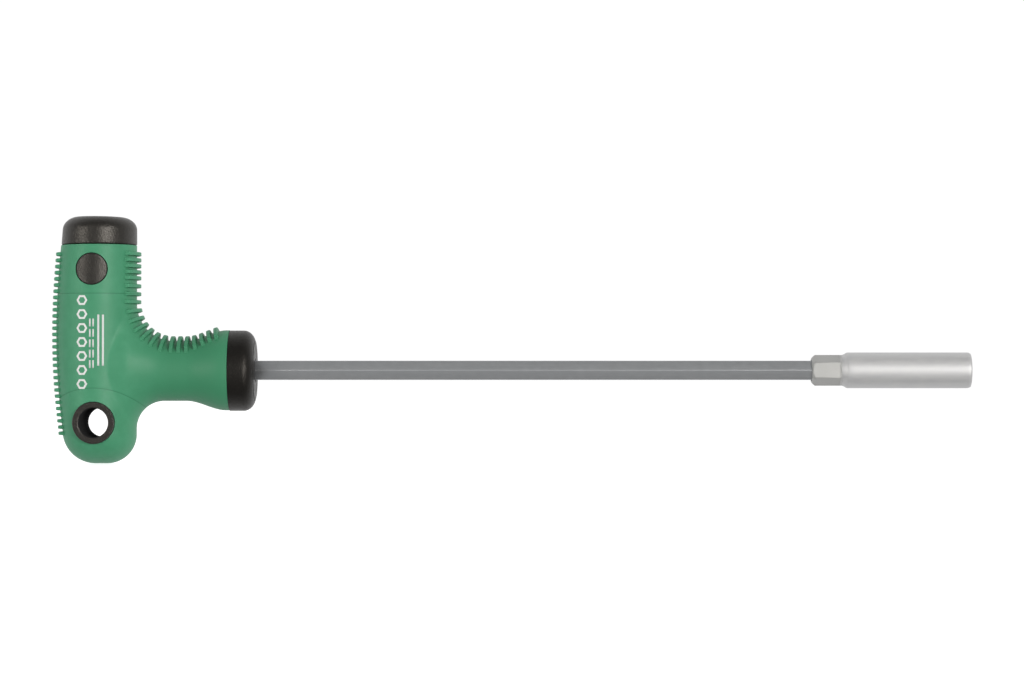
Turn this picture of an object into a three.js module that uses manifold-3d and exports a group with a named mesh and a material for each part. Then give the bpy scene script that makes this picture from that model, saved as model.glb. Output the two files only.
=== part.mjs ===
// Nut driver with an offset pistol grip: a hexagonal rod with a fixed nut socket, moulded into a two-plastic handle.
// Millimetres. The design frame has x = 0 on the collar's front face, +X towards the socket, z = 0 on the rod's
// axis and +Z up the handle's arm; y is the handle's thickness. The last lines move it to the part's own frame.
import * as THREE from "three";
import { mergeVertices } from "three/addons/utils/BufferGeometryUtils.js";
import Module from "manifold-3d";

const wasm = await Module();
wasm.setup();

// ---- Driving dimensions ----
const GAP = 0.3; // between pieces that touch
const REACH = 230; // collar face to the socket's open end
const ROUND = 40; // facets round a full turn

const ROD_FLATS = 6.17;
const ROD_END = 194.5; // inside the socket
const ROD_ROOT = -55; // inside the handle core
const ROD_EARS = { length: 5, width: 8.4, thickness: 3.2 };

const SOCKET_START = 178.8;
const SOCKET_FLATS_END = 188.35;
const SOCKET_BARREL_START = 190.4;
const SOCKET_NECK_CORNERS = 9.91;
const SOCKET_END_RADIUS = 3.75;
const SOCKET_NECK_CHAMFER = 1.05;
const SOCKET_THROAT_RADIUS = 4.95;
const SOCKET_THROAT_STEPS = 6;
const SOCKET_RADIUS = 5.75;
const SOCKET_EDGE = 0.6;
const NUT_FLATS = 8.1;
const NUT_DEPTH = 12;
const STUD_RADIUS = 4;
const STUD_DEPTH = 30;

const ARM_X = -50.85; // the arm's middle
const ARM_RIGHT = -38.3;
const ARM_TOP = 40.15; // where the soft grip meets the end cap
const ARM_BOTTOM = -29.92;
const HALF_THICKNESS = 12.95;
const SIDE_ROUNDING = 9.1;
const BACK_LINE = [
  [-62.65, ARM_TOP],
  [-63.65, 28.6],
  [-64.2, 9],
  [-63.7, -3.6],
  [-62.05, -19.3],
];
const HEEL = { x: -51.45, z: -19.32, rx: 10.6, rz: 10.6 }; // lower back corner
const TOE = { x: -47.6, z: -20.62, rx: 9.3, rz: 9.3 }; // lower front corner
const LOWER_CROTCH = { x: -29.3, z: -18.85, r: 9 };
const UPPER_CROTCH = { x: -26.3, z: 21.5, r: 12 };
const NECK_THIN_X = -22.5;
const NECK_END = -8.3; // where the soft grip meets the collar
const NECK_RADIUS = 12.9;
const NECK_FLARE = [
  [-12.5, 12.55],
  [-15.5, 11.55],
  [-18.5, 10.4],
  [-22.5, 9.85],
]; // its radius from the collar to its thin part
const NECK_PULLS = { thin: -17, thick: -15.5 }; // where the side outline's S-curve is pulled to
const ROOT_RISE = 0.35; // the neck's top stands this far below the outline's arc where it meets the arm

const RIB_HEIGHT = 1.4;
const RIB_WIDTH = 1.25;
const BACK_RIBS = { count: 30, top: 37.3, pitch: 1.983, halfSpan: 5.2 };
const FRONT_RIBS = { top: 37.38, halfSpan: 8.2, closeCount: 5, closePitch: 1.935, wideCount: 4, widePitch: 2.56 };
const CROTCH_RIBS = { count: 12, pitch: 2.415 };

const CORE_SKIN = 3; // soft plastic over the hard core
const CORE_NECK_RADIUS = 6.9;
const CORE_NOSE = { radius: 8, start: -10.6, end: -3.8 };
const CORE_ARM_TAPER = [
  [20, 0],
  [-20, 0],
  [-24, 2.6],
]; // height, and how much slimmer than the arm's core radius
const CORE_FOOT_TAPER = 6.5;
const CORE_NECK = [
  [-12, 9.2],
  [-19, CORE_NECK_RADIUS],
  [-38, CORE_NECK_RADIUS],
  [-42, 8],
  [-46, 8],
]; // x and radius, from the collar into the arm
const CORE_NECK_FRONT_RADIUS = 9.6;
const CORE_SPIGOT = { radius: 8.2, end: 45 };

const CAP_X = -50.35;
const CAP_DEPTH_SCALE = 1.045; // a little deeper than it is wide
const CAP_TOP = 49.5;
const CAP_RADIUS = 12.15;
const CAP_TOP_RADIUS = 11.9;
const CAP_CORNER = { across: 4.7, down: 4.1 };

const COLLAR_RADIUS = 12.93;
const COLLAR_NOSE = { x: -3.75, across: 4.4 }; // where its front rounding starts, and how far in it runs
const PLUG = { radius: 9.55, thickness: 3, hole: 3.9, edge: 0.3, slack: 0.2 };

const DISC = { x: -51.3, z: 32.3, radius: 5.1 };
const EYE = { x: -50.7, z: -16.75, inner: 4.7, outer: 6.7, sunk: 0.25, edge: 0.4 };
const FAR = 90; // beyond everything on the handle

// ---- Solids ----
function solid(geometry) {
  const bare = geometry.clone();
  bare.deleteAttribute("normal");
  bare.deleteAttribute("uv");
  const merged = mergeVertices(bare, 1e-4);
  return new wasm.Manifold(
    new wasm.Mesh({
      numProp: 3,
      vertProperties: new Float32Array(merged.attributes.position.array),
      triVerts: new Uint32Array(merged.index.array),
    }),
  );
}

function geometryOf(body) {
  const mesh = body.getMesh();
  const geometry = new THREE.BufferGeometry();
  geometry.setAttribute("position", new THREE.BufferAttribute(new Float32Array(mesh.vertProperties), 3));
  geometry.setIndex(new THREE.BufferAttribute(new Uint32Array(mesh.triVerts), 1));
  geometry.computeVertexNormals();
  return geometry;
}

function points(list) {
  return list.map(([a, b]) => new THREE.Vector2(a, b));
}

// A body turned about the X axis, from [x, radius] pairs given with x falling.
function turnedX(profile) {
  const rising = profile.map(([x, r]) => [r, x]).reverse();
  const geometry = new THREE.LatheGeometry(points(rising), ROUND);
  return solid(geometry.rotateZ(-Math.PI / 2));
}

// A body turned about a vertical axis at (x, y = 0), from [z, radius] pairs given with z falling.
function turnedZ(profile, x, depthScale = 1) {
  const rising = profile.map(([z, r]) => [r, z]).reverse();
  const geometry = new THREE.LatheGeometry(points(rising), ROUND);
  return solid(geometry.rotateX(Math.PI / 2).scale(1, depthScale, 1).translate(x, 0, 0));
}

// A hexagonal bar along X. Its corners point up and down, or to the front and back when turned.
function hexBar(acrossFlats, from, to, turned) {
  const radius = acrossFlats / Math.sqrt(3);
  const geometry = new THREE.CylinderGeometry(radius, radius, to - from, 6);
  geometry.rotateZ(-Math.PI / 2);
  if (turned) geometry.rotateX(Math.PI / 6);
  return solid(geometry.translate((from + to) / 2, 0, 0));
}

// A round bar along Y through (x, z), from y = from to y = to.
function crossBar(x, z, radius, from, to) {
  const geometry = new THREE.CylinderGeometry(radius, radius, to - from, ROUND);
  return solid(geometry.translate(x, (from + to) / 2, z));
}

function box(from, to) {
  const size = to.map((high, i) => high - from[i]);
  const geometry = new THREE.BoxGeometry(...size);
  return solid(geometry.translate(...from.map((low, i) => low + size[i] / 2)));
}

// ---- The handle's side outline, in x and z, run on past its two joins so that they can be cut square ----
function handleOutline() {
  const beyondTop = ARM_TOP + 20;
  const beyondNeck = NECK_END + 14;
  const [, ...back] = BACK_LINE;
  const shape = new THREE.Shape();
  shape.moveTo(BACK_LINE[0][0], beyondTop);
  shape.lineTo(...BACK_LINE[0]);
  shape.splineThru(points(back));
  shape.absellipse(HEEL.x, HEEL.z, HEEL.rx, HEEL.rz, Math.PI, 1.5 * Math.PI, false, 0);
  shape.lineTo(TOE.x, ARM_BOTTOM);
  shape.absellipse(TOE.x, TOE.z, TOE.rx, TOE.rz, 1.5 * Math.PI, 2 * Math.PI, false, 0);
  shape.lineTo(ARM_RIGHT, LOWER_CROTCH.z);
  shape.absarc(LOWER_CROTCH.x, LOWER_CROTCH.z, LOWER_CROTCH.r, Math.PI, Math.PI / 2, true);
  const underNeck = LOWER_CROTCH.z + LOWER_CROTCH.r;
  shape.lineTo(NECK_THIN_X, underNeck);
  shape.bezierCurveTo(NECK_PULLS.thin, underNeck, NECK_PULLS.thick, -NECK_RADIUS, NECK_END, -NECK_RADIUS);
  shape.lineTo(beyondNeck, -NECK_RADIUS);
  shape.lineTo(beyondNeck, NECK_RADIUS);
  shape.lineTo(NECK_END, NECK_RADIUS);
  const overNeck = UPPER_CROTCH.z - UPPER_CROTCH.r;
  shape.bezierCurveTo(NECK_PULLS.thick, NECK_RADIUS, NECK_PULLS.thin, overNeck, NECK_THIN_X, overNeck);
  shape.lineTo(UPPER_CROTCH.x, overNeck);
  shape.absarc(UPPER_CROTCH.x, UPPER_CROTCH.z, UPPER_CROTCH.r, 1.5 * Math.PI, Math.PI, true);
  shape.lineTo(ARM_RIGHT, beyondTop);
  return shape;
}

// The handle's outer form, grown by a distance: the outline with rounded sides, and a round neck.
function handleForm(grow) {
  const slab = new THREE.ExtrudeGeometry(handleOutline(), {
    depth: 0.1,
    curveSegments: 6,
    bevelEnabled: true,
    bevelSegments: 4,
    bevelSize: SIDE_ROUNDING,
    bevelThickness: HALF_THICKNESS - 0.05 + grow,
    bevelOffset: grow - SIDE_ROUNDING,
  });
  const rounded = solid(slab.rotateX(Math.PI / 2).translate(0, 0.05, 0));
  // The neck is round, and flares into the arm along the arc of the upper crotch.
  const profile = [
    [NECK_END + 10, 0],
    [NECK_END + 10, NECK_RADIUS + grow],
    [NECK_END, NECK_RADIUS + grow],
    ...NECK_FLARE.map(([x, radius]) => [x, radius + grow]),
  ];
  for (let i = 0; i <= 6; i++) {
    const turn = (Math.PI / 2) * (1 - i / 6);
    profile.push([
      UPPER_CROTCH.x - (UPPER_CROTCH.r - grow) * Math.cos(turn),
      UPPER_CROTCH.z - (UPPER_CROTCH.r - grow) * Math.sin(turn) + ROOT_RISE,
    ]);
  }
  profile.push([ARM_RIGHT + grow, 0]);
  const armSpace = box([-FAR, -FAR, -FAR], [ARM_RIGHT + grow + 0.02, FAR, FAR]);
  return rounded.intersect(turnedX(profile).add(armSpace));
}

// Where each front rib stands: a point on the outline and the angle of the outward direction.
function frontRibPlaces() {
  const places = [];
  for (let i = 0; i < FRONT_RIBS.closeCount; i++) {
    places.push({ x: ARM_RIGHT, z: FRONT_RIBS.top - i * FRONT_RIBS.closePitch, angle: 0 });
  }
  const lastClose = places.at(-1).z;
  for (let i = 1; i < FRONT_RIBS.wideCount; i++) {
    places.push({ x: ARM_RIGHT, z: lastClose - i * FRONT_RIBS.widePitch, angle: 0 });
  }
  // From here the ribs follow the crotch, then the top of the neck, evenly spaced along their tips.
  const tipRadius = UPPER_CROTCH.r - RIB_HEIGHT;
  const arc = (tipRadius * Math.PI) / 2;
  const start = UPPER_CROTCH.z - (lastClose - FRONT_RIBS.wideCount * FRONT_RIBS.widePitch);
  for (let i = 0; i <= CROTCH_RIBS.count; i++) {
    const along = start + i * CROTCH_RIBS.pitch;
    if (along < arc) {
      const turn = along / tipRadius;
      places.push({
        x: UPPER_CROTCH.x - UPPER_CROTCH.r * Math.cos(turn),
        z: UPPER_CROTCH.z - UPPER_CROTCH.r * Math.sin(turn),
        angle: turn,
      });
    } else {
      const x = UPPER_CROTCH.x + (along - arc) * 0.965;
      const z = neckTop(x);
      const slope = (neckTop(x + 0.1) - neckTop(x - 0.1)) / 0.2;
      places.push({ x, z, angle: Math.PI / 2 + Math.atan(slope) });
    }
  }
  return places;
}

// Height of the neck's upper edge at x, to place the ribs on it.
function neckTop(x) {
  const low = UPPER_CROTCH.z - UPPER_CROTCH.r;
  const share = THREE.MathUtils.clamp((x - NECK_THIN_X) / (NECK_END - NECK_THIN_X), 0, 1);
  return low + ((NECK_RADIUS - low) * (1 - Math.cos(Math.PI * share))) / 2;
}

// A thin slab across the outline: the rib form is cut to these.
function ribSlab({ x, z, angle }, halfSpan) {
  const geometry = new THREE.BoxGeometry(6, 2 * halfSpan, RIB_WIDTH);
  return solid(geometry.rotateY(-angle).translate(x, 0, z));
}

function ribs() {
  const slabs = frontRibPlaces().map((place) => ribSlab(place, FRONT_RIBS.halfSpan));
  const backCurve = new THREE.SplineCurve(points(BACK_LINE));
  const backPoints = backCurve.getSpacedPoints(100);
  for (let i = 0; i < BACK_RIBS.count; i++) {
    const z = BACK_RIBS.top - i * BACK_RIBS.pitch;
    const nearest = backPoints.reduce((a, b) => (Math.abs(b.y - z) < Math.abs(a.y - z) ? b : a));
    slabs.push(ribSlab({ x: nearest.x, z, angle: 0 }, BACK_RIBS.halfSpan));
  }
  const all = slabs.reduce((joined, slab) => joined.add(slab));
  return handleForm(RIB_HEIGHT).intersect(all);
}

// ---- The hard core, grown by a distance so that the same form cuts its seat in the grip ----
function coreForm(grow) {
  const radius = HALF_THICKNESS - CORE_SKIN + grow;
  const foot = ARM_BOTTOM + CORE_SKIN - grow;
  const arm = turnedZ(
    [
      [ARM_TOP - 0.5 + grow, 0],
      [ARM_TOP - 0.5 + grow, radius - 0.6],
      ...CORE_ARM_TAPER.map(([z, slimmer]) => [z, radius - slimmer]),
      [foot, radius - CORE_FOOT_TAPER],
      [foot, 0],
    ],
    ARM_X,
  );
  const neck = turnedX([
    [NECK_END - GAP + grow, 0],
    [NECK_END - GAP + grow, CORE_NECK_FRONT_RADIUS + grow],
    ...CORE_NECK.map(([x, r]) => [x, r + grow]),
    [CORE_NECK.at(-1)[0], 0],
  ]);
  return arm.add(neck);
}

function handleCore() {
  const spigot = turnedZ(
    [
      [CORE_SPIGOT.end, 0],
      [CORE_SPIGOT.end, CORE_SPIGOT.radius - 0.5],
      [CORE_SPIGOT.end - 0.5, CORE_SPIGOT.radius],
      [ARM_TOP - 2, CORE_SPIGOT.radius],
      [ARM_TOP - 2, 0],
    ],
    ARM_X,
  );
  const nose = turnedX([
    [CORE_NOSE.end, 0],
    [CORE_NOSE.end, CORE_NOSE.radius],
    [CORE_NOSE.start, CORE_NOSE.radius],
    [CORE_NOSE.start, 0],
  ]);
  const rodSeat = hexBar(ROD_FLATS + 2 * GAP, ROD_ROOT - GAP, 5, true);
  const ears = ROD_EARS;
  const earSeat = box(
    [ROD_ROOT - GAP, -ears.thickness / 2 - GAP, -ears.width / 2 - GAP],
    [ROD_ROOT + ears.length + GAP, ears.thickness / 2 + GAP, ears.width / 2 + GAP],
  );
  const eye = crossBar(EYE.x, EYE.z, EYE.outer + GAP, -FAR, FAR);
  return coreForm(0).add(spigot).add(nose).subtract(rodSeat).subtract(earSeat).subtract(eye);
}

function softGrip() {
  const aboveTop = box([-FAR, -FAR, ARM_TOP], [FAR, FAR, FAR]);
  const pastNeck = box([NECK_END, -FAR, -FAR], [FAR, FAR, FAR]);
  const eye = crossBar(EYE.x, EYE.z, EYE.outer + GAP, -FAR, FAR);
  const disc = crossBar(DISC.x, DISC.z, DISC.radius + GAP, -FAR, FAR);
  return handleForm(0)
    .add(ribs())
    .subtract(coreForm(GAP))
    .subtract(spigotWay(ARM_TOP + 5))
    .subtract(eye)
    .subtract(disc)
    .subtract(aboveTop)
    .subtract(pastNeck);
}

// The way for the core's spigot through the top of the grip and up to z = top.
function spigotWay(top) {
  const radius = CORE_SPIGOT.radius + GAP;
  return turnedZ(
    [
      [top, 0],
      [top, radius],
      [ARM_TOP - 4, radius],
      [ARM_TOP - 4, 0],
    ],
    ARM_X,
  );
}

// ---- The hard plastic that shows ----
function endCap() {
  const foot = ARM_TOP + GAP;
  const profile = [
    [CAP_TOP, 0],
    [CAP_TOP, CAP_TOP_RADIUS - CAP_CORNER.across],
  ];
  for (let i = 1; i <= 6; i++) {
    const turn = (i / 6) * (Math.PI / 2);
    profile.push([
      CAP_TOP - CAP_CORNER.down * (1 - Math.cos(turn)),
      CAP_TOP_RADIUS - CAP_CORNER.across * (1 - Math.sin(turn)),
    ]);
  }
  profile.push([foot, CAP_RADIUS], [foot, 0]);
  const outer = turnedZ(profile, CAP_X, CAP_DEPTH_SCALE);
  return outer.subtract(spigotWay(CORE_SPIGOT.end + GAP));
}

function frontCollar() {
  const back = NECK_END + GAP;
  const seat = PLUG.radius + PLUG.slack;
  const profile = [];
  for (let i = 0; i <= 6; i++) {
    const turn = (i / 6) * (Math.PI / 2);
    const radius = COLLAR_RADIUS - COLLAR_NOSE.across * (1 - Math.sin(turn));
    const x = COLLAR_NOSE.x * (1 - Math.cos(turn));
    if (radius > seat + 0.1) profile.push([x, radius]);
  }
  profile.push(
    [back, COLLAR_RADIUS],
    [back, CORE_NOSE.radius + GAP],
    [-PLUG.thickness - GAP, CORE_NOSE.radius + GAP],
    [-PLUG.thickness - GAP, seat],
    [-PLUG.edge, seat],
    profile[0],
  );
  return turnedX(profile);
}

function frontPlug() {
  return turnedX([
    [-0.35, PLUG.hole],
    [0, PLUG.hole + 0.5],
    [0, PLUG.radius - PLUG.edge],
    [-PLUG.edge, PLUG.radius],
    [-PLUG.thickness, PLUG.radius],
    [-PLUG.thickness, PLUG.hole],
    [-0.35, PLUG.hole],
  ]);
}

// A black disc of the hard plastic, let into the grip; side is -1 for the front and 1 for the back.
function sideDisc(side) {
  const inner = HALF_THICKNESS - CORE_SKIN + GAP + 0.05;
  const edges = [side * inner, side * FAR].sort((a, b) => a - b);
  return handleForm(-0.05).intersect(crossBar(DISC.x, DISC.z, DISC.radius, ...edges));
}

function hangingEye() {
  const half = HALF_THICKNESS - EYE.sunk;
  const edge = EYE.edge;
  const tube = new THREE.LatheGeometry(
    points([
      [EYE.inner, -half + edge],
      [EYE.inner + edge, -half],
      [EYE.outer - edge, -half],
      [EYE.outer, -half + edge],
      [EYE.outer, half - edge],
      [EYE.outer - edge, half],
      [EYE.inner + edge, half],
      [EYE.inner, half - edge],
      [EYE.inner, -half + edge],
    ]),
    ROUND,
  );
  return solid(tube.translate(EYE.x, 0, EYE.z));
}

// ---- Steel ----
function hexRod() {
  const ears = ROD_EARS;
  const swaged = box(
    [ROD_ROOT, -ears.thickness / 2, -ears.width / 2],
    [ROD_ROOT + ears.length, ears.thickness / 2, ears.width / 2],
  );
  return hexBar(ROD_FLATS, ROD_ROOT, ROD_END, true).add(swaged);
}

function nutSocket() {
  const neckRadius = SOCKET_NECK_CORNERS / 2;
  const neck = hexBar((SOCKET_NECK_CORNERS * Math.sqrt(3)) / 2, SOCKET_START, SOCKET_FLATS_END + 1, false);
  const chamfer = turnedX([
    [SOCKET_FLATS_END + 2, 0],
    [SOCKET_FLATS_END + 2, neckRadius + 1],
    [SOCKET_START + SOCKET_NECK_CHAMFER, neckRadius + 0.02],
    [SOCKET_START, SOCKET_END_RADIUS],
    [SOCKET_START, 0],
  ]);
  const profile = [
    [REACH, 0],
    [REACH, SOCKET_RADIUS - SOCKET_EDGE],
    [REACH - 0.3 * SOCKET_EDGE, SOCKET_RADIUS - 0.3 * SOCKET_EDGE],
    [REACH - SOCKET_EDGE, SOCKET_RADIUS],
    [SOCKET_BARREL_START, SOCKET_RADIUS],
  ];
  // The throat: hollow beside the flats, then rounding onto the barrel.
  const throat = SOCKET_BARREL_START - SOCKET_FLATS_END;
  for (let i = 1; i <= SOCKET_THROAT_STEPS; i++) {
    const share = 1 - i / SOCKET_THROAT_STEPS;
    profile.push([
      SOCKET_FLATS_END + throat * share,
      SOCKET_THROAT_RADIUS + (SOCKET_RADIUS - SOCKET_THROAT_RADIUS) * THREE.MathUtils.smoothstep(share, 0, 1),
    ]);
  }
  profile.push([SOCKET_FLATS_END, 0]);
  const body = neck.intersect(chamfer).add(turnedX(profile));
  const nutSeat = hexBar(NUT_FLATS, REACH - NUT_DEPTH, REACH + 5, false);
  const studWay = turnedX([
    [REACH, 0],
    [REACH, STUD_RADIUS],
    [REACH - STUD_DEPTH, STUD_RADIUS],
    [REACH - STUD_DEPTH, 0],
  ]);
  const rodSeat = hexBar(ROD_FLATS + 2 * GAP, SOCKET_START - 5, ROD_END + GAP, true);
  return body.subtract(nutSeat).subtract(studWay).subtract(rodSeat);
}

// ---- Assembly ----
const SOFT_GREEN = { color: 0x2f8f63, roughness: 0.6, metalness: 0 };
const HARD_BLACK = { color: 0x262422, roughness: 0.5, metalness: 0 };
const ROD_STEEL = { color: 0x8b9095, roughness: 0.4, metalness: 1 };
const SATIN_CHROME = { color: 0xd2d4d8, roughness: 0.28, metalness: 1 };

const design = new THREE.Group();

function place(name, body, look) {
  const mesh = new THREE.Mesh(geometryOf(body), new THREE.MeshStandardMaterial(look));
  mesh.name = name;
  design.add(mesh);
}

place("hex_rod", hexRod(), ROD_STEEL);
place("nut_socket", nutSocket(), SATIN_CHROME);
place("handle_core", handleCore(), HARD_BLACK);
place("soft_grip", softGrip(), SOFT_GREEN);
place("end_cap", endCap(), HARD_BLACK);
place("front_collar", frontCollar(), HARD_BLACK);
place("front_plug", frontPlug(), HARD_BLACK);
place("side_disc_front", sideDisc(-1), HARD_BLACK);
place("side_disc_back", sideDisc(1), HARD_BLACK);
place("hanging_eye", hangingEye(), HARD_BLACK);

// The part's own frame: the origin under the middle of the whole tool, at the height of the handle's lower end.
const part = new THREE.Group();
const whole = new THREE.Box3().setFromObject(design);
design.position.set(-(whole.min.x + whole.max.x) / 2, 0, -whole.min.z);
part.add(design);

export default part;
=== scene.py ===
"""Nut driver with an offset pistol grip: fine meshes, materials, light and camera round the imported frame.

Shapes are worked out in millimetres in the tool's design frame: x = 0 on the handle's front face, +X towards
the socket, z = 0 on the rod's axis, +Z up the handle's arm, y across the handle. to_row() puts them in the
row frame.
"""
import math

import bpy
import numpy as np
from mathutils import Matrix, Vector


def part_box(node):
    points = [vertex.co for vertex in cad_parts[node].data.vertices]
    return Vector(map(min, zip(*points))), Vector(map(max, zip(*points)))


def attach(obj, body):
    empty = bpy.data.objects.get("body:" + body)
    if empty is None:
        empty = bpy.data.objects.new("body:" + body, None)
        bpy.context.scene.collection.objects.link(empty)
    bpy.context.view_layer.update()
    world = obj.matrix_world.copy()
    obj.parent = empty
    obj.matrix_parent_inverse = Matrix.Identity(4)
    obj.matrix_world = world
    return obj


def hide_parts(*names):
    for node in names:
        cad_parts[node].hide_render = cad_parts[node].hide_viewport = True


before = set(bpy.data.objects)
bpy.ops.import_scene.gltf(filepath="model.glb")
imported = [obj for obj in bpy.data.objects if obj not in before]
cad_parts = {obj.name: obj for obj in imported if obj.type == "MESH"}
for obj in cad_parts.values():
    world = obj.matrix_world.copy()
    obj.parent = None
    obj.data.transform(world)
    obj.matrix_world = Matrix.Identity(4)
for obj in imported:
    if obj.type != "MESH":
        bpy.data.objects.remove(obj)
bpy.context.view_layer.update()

# ---- The frame, in millimetres ----
MM = 0.001
SOCKET_LOW, SOCKET_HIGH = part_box("nut_socket")
DESIGN_ORIGIN = np.array([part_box("front_plug")[1].x, 0.0, (SOCKET_LOW.z + SOCKET_HIGH.z) / 2]) / MM


def to_row(points):
    """Design millimetres to metres in the row frame."""
    return (np.asarray(points, float) + DESIGN_ORIGIN) * MM


# ---- The handle's sizes ----
ARM_RIGHT = -38.3
ARM_MIDDLE = -50.85
ARM_TOP = 40.15
ARM_BOTTOM = -29.9
HALF_THICKNESS = 12.92
BACK_POINTS = [(40.35, -62.55), (28.6, -63.5), (9.0, -64.05), (-3.6, -63.55), (-20.2, -61.9)]  # z, x
HEEL_RADIUS = 10.6
TOE_RADIUS = 9.3
DOME_START = -12.0  # below this height the section keeps its size and closes as a dome

NECK_END = -8.3
NECK_THIN = {"x": -22.2, "radius": 9.67, "z": -0.17}
NECK_THICK = {"x": -9.4, "radius": 12.88}
NECK_ROOT = -46.0  # inside the arm
CROTCH_UP = {"x": -26.3, "z": 21.5, "radius": 12.0}
CROTCH_DOWN_RADIUS = 9.0

RIB_ROOT = -0.6  # how deep a rib's foot is sunk into the grip
RIB_LEAN = 0.95  # its foot's place across the handle for its crest's
BACK_RIBS = {"count": 30, "top": 37.3, "pitch": 1.983, "span": 5.3, "foot": 0.68, "crest": 0.52,
             "rounding": 0.3, "height": 1.36}
FRONT_RIBS = {"top": 37.38, "close": 5, "close_pitch": 1.935, "wide": 4, "wide_pitch": 2.56, "span": 8.6,
              "foot": 0.76, "crest": 0.56, "rounding": 0.16, "height": 1.38}
CROTCH_RIBS = {"count": 12, "pitch": 2.4, "span": 8.1, "foot": 0.76, "crest": 0.55, "rounding": 0.16,
               "height": 1.5, "neck_share": 0.965}  # neck_share: of the pitch, along X on the sloping neck

SEAM = {"depth": 0.07, "width": 0.2, "height": 24.5, "arc_x": -50.8, "arc_z": -29.1, "arc_radius": 23.4,
        "dark": 0.05, "plain": 0.19}  # the last two: how far from its middle the seam's colour fades
GAP = 0.08  # between the visible plastics
FAR = 60.0  # beyond everything on the handle
SPIGOT_RADIUS = 8.5  # the core's end inside the cap
GRID = np.array([0.36, 0.45, 0.33])  # the grip's sampling step along x, y and z

DISC = {"x": -51.3, "z": 32.3, "radius": 5.1, "depth": 2.6}
EYE = {"x": -50.7, "z": -16.75, "inner": 4.7, "outer": 6.7}

CAP = {"foot": 40.3, "top": 49.5, "top_drop": 0.3, "depth": 12.65, "corner_across": 4.8, "corner_down": 4.1}
CAP_LEFT = {"foot": -62.45, "top": -61.75}
CAP_RIGHT = {"foot": -38.25, "top": -38.3}

COLLAR_RADIUS = 12.93
COLLAR_DROP = -0.12
PLUG_RADIUS = 9.55
SEAT_GAP = 0.17  # round the plug
ROD_FLATS = 6.17
ROD_ENDS = (-55.0, 194.5)
EARS = {"start": 4.5, "end": 7, "thinner": 0.53, "wider": 0.35}  # the rod's flattened end, fading out


# ---- Smooth helpers ----
def smoothstep(value, low, high):
    share = np.clip((value - low) / (high - low), 0.0, 1.0)
    return share * share * (3 - 2 * share)


def join_round(a, b, radius):
    """Union of two distance fields, with a round fillet where they meet."""
    reach = np.hypot(np.maximum(radius - a, 0), np.maximum(radius - b, 0))
    return np.maximum(radius, np.minimum(a, b)) - reach


# ---- The soft grip as a distance field ----
back_z, back_x = zip(*BACK_POINTS)
back_curve = np.polynomial.Polynomial.fit(back_z, back_x, len(BACK_POINTS) - 1)


def back_line(z):
    return back_curve(np.clip(z, back_z[-1], ARM_TOP + 1))


def arm_inset(x, z):
    """How far inside the arm's side outline a point is."""
    heel_z = ARM_BOTTOM + HEEL_RADIUS
    heel_x = back_line(heel_z) + HEEL_RADIUS
    toe_z = ARM_BOTTOM + TOE_RADIUS
    toe_x = ARM_RIGHT - TOE_RADIUS
    inset = np.minimum(np.minimum(x - back_line(z), ARM_RIGHT - x), z - ARM_BOTTOM)
    heel = HEEL_RADIUS - np.hypot(x - heel_x, z - heel_z)
    toe = TOE_RADIUS - np.hypot(x - toe_x, z - toe_z)
    inset = np.where((x < heel_x) & (z < heel_z), heel, inset)
    return np.where((x > toe_x) & (z < toe_z), toe, inset)


def arm_field(x, y, z):
    half_width = (ARM_RIGHT - back_line(np.maximum(z, DOME_START))) / 2
    from_middle = np.maximum(half_width - arm_inset(x, z), 0)
    return np.hypot(from_middle, y * half_width / HALF_THICKNESS) - half_width


def neck_radius(x):
    return NECK_THIN["radius"] + (NECK_THICK["radius"] - NECK_THIN["radius"]) * smoothstep(
        x, NECK_THIN["x"], NECK_THICK["x"]
    )


def neck_field(x, y, z):
    middle = NECK_THIN["z"] * (1 - smoothstep(x, NECK_THIN["x"], NECK_THICK["x"]))
    return np.maximum(np.hypot(y, z - middle) - neck_radius(x), NECK_ROOT - x)


def smooth_body(x, y, z):
    """Arm and neck with the web between them, without ribs."""
    web = CROTCH_DOWN_RADIUS + (CROTCH_UP["radius"] - CROTCH_DOWN_RADIUS) * smoothstep(z, -6, 6)
    web = web * smoothstep(x, -50, -39)
    return join_round(arm_field(x, y, z), neck_field(x, y, z), web)


def rib_places():
    """Each rib's point on the side outline, its outward angle and its kind."""
    places = []
    for i in range(BACK_RIBS["count"]):
        z = BACK_RIBS["top"] - i * BACK_RIBS["pitch"]
        places.append((back_line(z), z, math.pi, BACK_RIBS))
    steps = [FRONT_RIBS["close_pitch"]] * (FRONT_RIBS["close"] - 1)
    steps += [FRONT_RIBS["wide_pitch"]] * FRONT_RIBS["wide"]
    heights = FRONT_RIBS["top"] - np.cumsum([0, *steps])
    places += [(ARM_RIGHT, z, 0.0, FRONT_RIBS) for z in heights[:-1]]
    tip_radius = CROTCH_UP["radius"] - FRONT_RIBS["height"]
    arc = tip_radius * math.pi / 2
    for i in range(CROTCH_RIBS["count"] + 1):
        along = CROTCH_UP["z"] - heights[-1] + i * CROTCH_RIBS["pitch"]
        if along < arc:
            turn = along / tip_radius
            x = CROTCH_UP["x"] - CROTCH_UP["radius"] * math.cos(turn)
            z = CROTCH_UP["z"] - CROTCH_UP["radius"] * math.sin(turn)
        else:
            x = CROTCH_UP["x"] + (along - arc) * CROTCH_RIBS["neck_share"]
            z = float(neck_radius(x))
            turn = math.pi / 2 + math.atan(float(neck_radius(x + 0.1) - neck_radius(x - 0.1)) / 0.2)
        places.append((x, z, turn, CROTCH_RIBS))
    return places


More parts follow.
